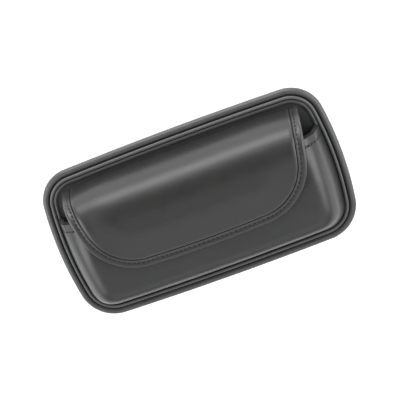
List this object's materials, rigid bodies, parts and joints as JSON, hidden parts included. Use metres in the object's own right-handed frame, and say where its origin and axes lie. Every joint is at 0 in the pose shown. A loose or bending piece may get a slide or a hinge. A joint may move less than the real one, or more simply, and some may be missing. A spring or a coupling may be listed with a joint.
{
  "type": "glasses organizer",
  "caption": "Flat padded glasses organizer with a rolled rim, a moulded front pocket and a wide U-shaped magnetic flap.",
  "frame": {"origin": "under the middle of the panel, on the surface that its back lies on", "axes": "+Z out of the front through the pocket, +X along the length, +Y towards the side where the flap is sewn on"},
  "size_m": [0.19, 0.104, 0.0333],
  "materials": {
    "leather_case": "satin smooth PU leather, charcoal",
    "leather_rim": "satin PU leather with a fine grain, charcoal",
    "leather_flap": "satin smooth PU leather, charcoal",
    "lining": "brushed microfibre, dark grey",
    "foam": "closed-cell foam, dark grey",
    "eva": "moulded EVA foam sheet, black",
    "board": "polypropylene board, black",
    "thread": "polyester sewing thread, charcoal",
    "magnet": "nickel-plated disc"
  },
  "bodies": {
    "case": {"back_cover": "leather_case", "back_foam": "foam", "base_board": "board", "rim_cord": "foam", "rim_cover": "leather_rim", "piping_cord": "foam", "piping_cover": "leather_rim", "inner_panel": "leather_case", "pocket_cover": "leather_case", "pocket_core": "eva", "pocket_magnets": "magnet", "pocket_lining": "lining", "mouth_hem": "leather_case", "mouth_thread": "thread", "flap_tongue": "leather_flap", "tongue_thread": "thread"},
    "flap": {"flap_outer": "leather_flap", "flap_padding": "foam", "flap_magnets": "magnet", "flap_board": "board", "flap_lining": "lining", "flap_binding": "leather_flap", "flap_thread": "thread"}
  },
  "joints": [
    {"name": "flap_hinge", "type": "hinge", "parent": "case", "child": "flap", "pos_m": [0, 0.03736, 0.0079], "axis": [-1, 0, 0], "range_deg": [0, 105]}
  ]
}
